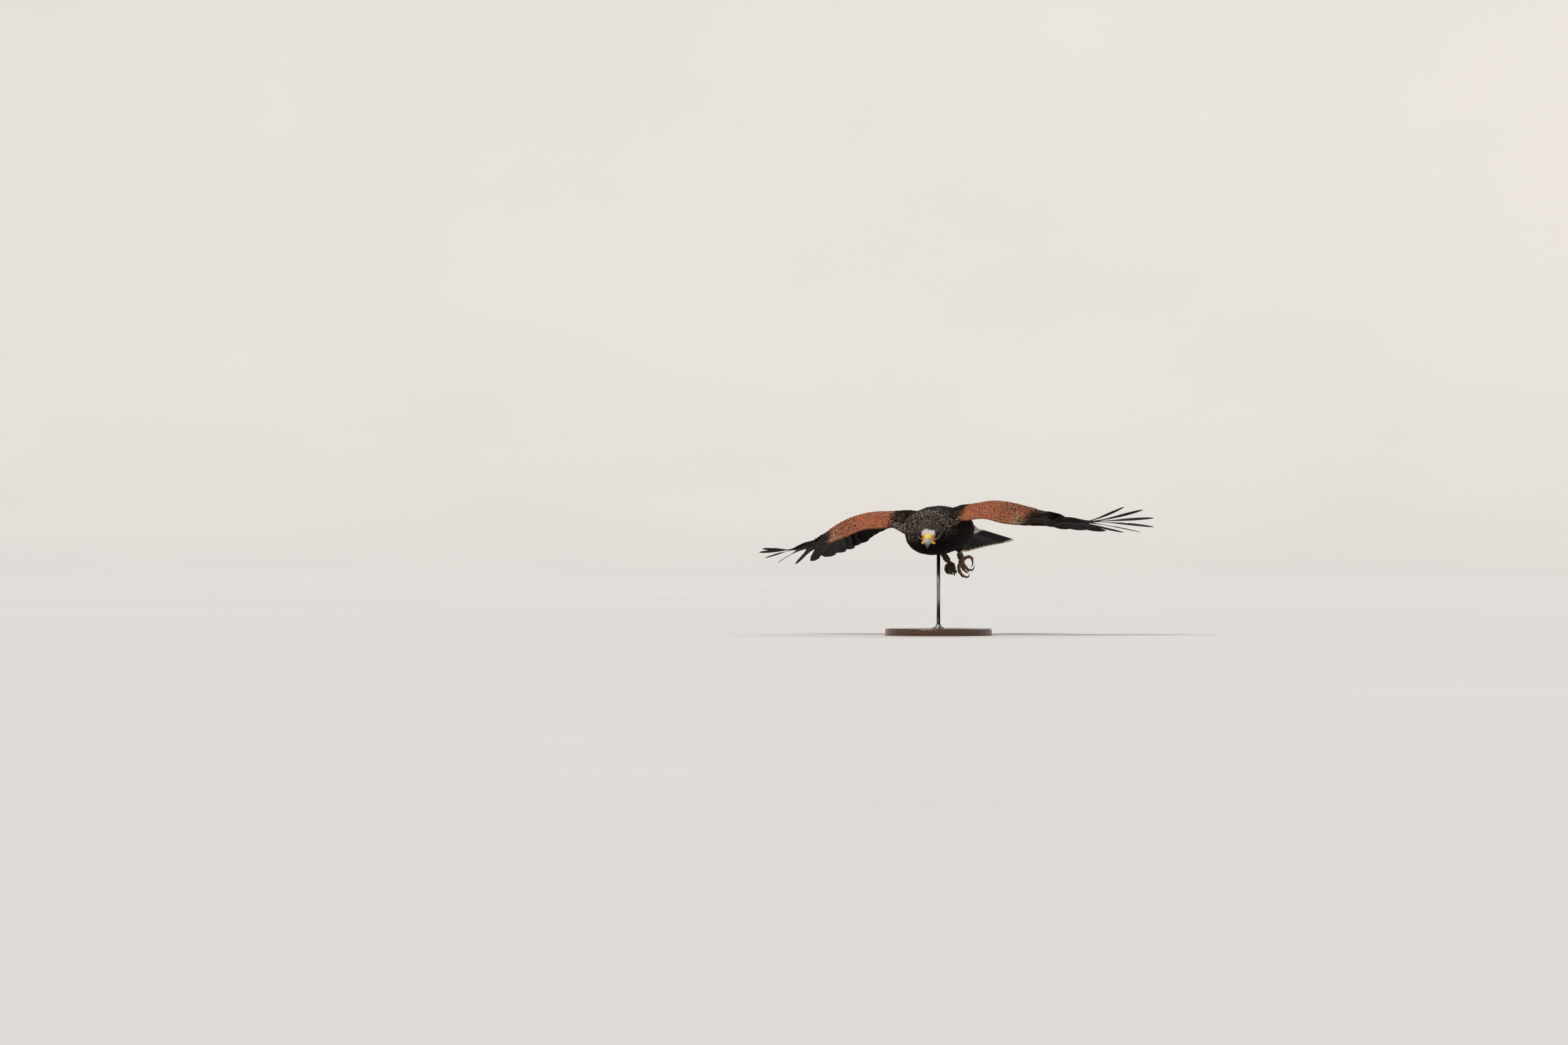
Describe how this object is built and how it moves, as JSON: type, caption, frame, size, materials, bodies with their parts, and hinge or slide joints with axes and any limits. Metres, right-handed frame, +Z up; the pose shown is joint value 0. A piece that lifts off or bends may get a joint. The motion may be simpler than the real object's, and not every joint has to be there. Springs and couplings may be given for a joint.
{
  "type": "harris hawk",
  "caption": "Life-size Harris's hawk gliding with spread wings, lowered head and trailing feet, held up by a rod on a round base.",
  "frame": {"origin": "middle of the flat underside of the stand's base", "axes": "+Z up; +X towards the left wing; the hawk glides along -Y, turned 21 degrees towards -X"},
  "size_m": [0.8882, 0.4901, 0.3026],
  "materials": {
    "plumage": "matt black-brown contour feathers",
    "chestnut_plumage": "matt chestnut contour feathers",
    "flight_feathers": "satin blackish flight feathers",
    "horn": "polished blue-grey horn",
    "cere": "waxy yellow skin",
    "eye": "wet dark brown eye",
    "scaly_skin": "yellow scaled skin",
    "claw": "polished black horn",
    "leather": "greased dark leather",
    "brass": "worn brass",
    "steel": "brushed",
    "stained_wood": "satin varnish"
  },
  "bodies": {
    "root": {"trunk": "plumage", "neck": "plumage", "head": "plumage", "cere": "cere", "bill_upper": "horn", "bill_lower": "horn", "eye_left": "eye", "eye_right": "eye", "tail": "flight_feathers", "wing_left_arm": "chestnut_plumage", "wing_left_secondaries": "flight_feathers", "wing_left_primaries": "flight_feathers", "wing_right_arm": "chestnut_plumage", "wing_right_secondaries": "flight_feathers", "wing_right_primaries": "flight_feathers", "thigh_left": "chestnut_plumage", "thigh_right": "chestnut_plumage", "foot_left": "scaly_skin", "foot_right": "scaly_skin", "claw_left_1": "claw", "claw_left_2": "claw", "claw_left_3": "claw", "claw_left_4": "claw", "claw_right_1": "claw", "claw_right_2": "claw", "claw_right_3": "claw", "claw_right_4": "claw", "anklet_left": "leather", "anklet_right": "leather", "eyelet_left": "brass", "eyelet_right": "brass", "bell": "brass", "bell_strap": "leather", "stand_base": "stained_wood", "stand_collar": "steel", "stand_rod": "steel"}
  },
  "joints": []
}
